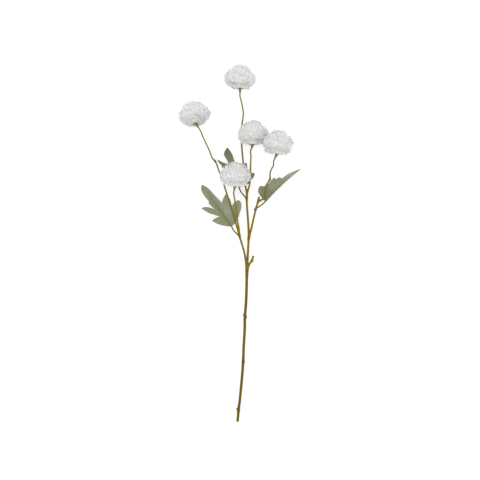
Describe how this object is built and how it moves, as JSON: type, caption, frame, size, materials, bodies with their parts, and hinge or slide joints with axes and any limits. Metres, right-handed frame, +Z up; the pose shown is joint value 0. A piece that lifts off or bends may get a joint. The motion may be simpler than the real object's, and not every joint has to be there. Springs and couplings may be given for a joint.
{
  "type": "pompon chrysanthemum cut spray",
  "caption": "Cut spray of white pompon chrysanthemum lying on its side: forked woody stem, round many-floret blooms, lobed grey-green leaves.",
  "frame": {"origin": "centre of the laid-down spray's box, on the surface that it lies on", "axes": "+Y along the stem from the cut end to the crowns, +X across the spray to the side with the folded leaf, +Z up from the surface"},
  "size_m": [0.225, 0.6497, 0.0904],
  "materials": {
    "petal_white": "matte",
    "leaf_grey_green": "satin",
    "stem_olive_brown": "satin",
    "calyx_green": "satin"
  },
  "bodies": {
    "root": {"stem": "stem_olive_brown", "leaf_left": "leaf_grey_green", "leaf_back": "leaf_grey_green", "leaf_right": "leaf_grey_green", "bloom_1": "petal_white", "calyx_1": "calyx_green", "bloom_2": "petal_white", "calyx_2": "calyx_green", "bloom_3": "petal_white", "calyx_3": "calyx_green", "bloom_4": "petal_white", "calyx_4": "calyx_green", "bloom_5": "petal_white", "calyx_5": "calyx_green"}
  },
  "joints": []
}
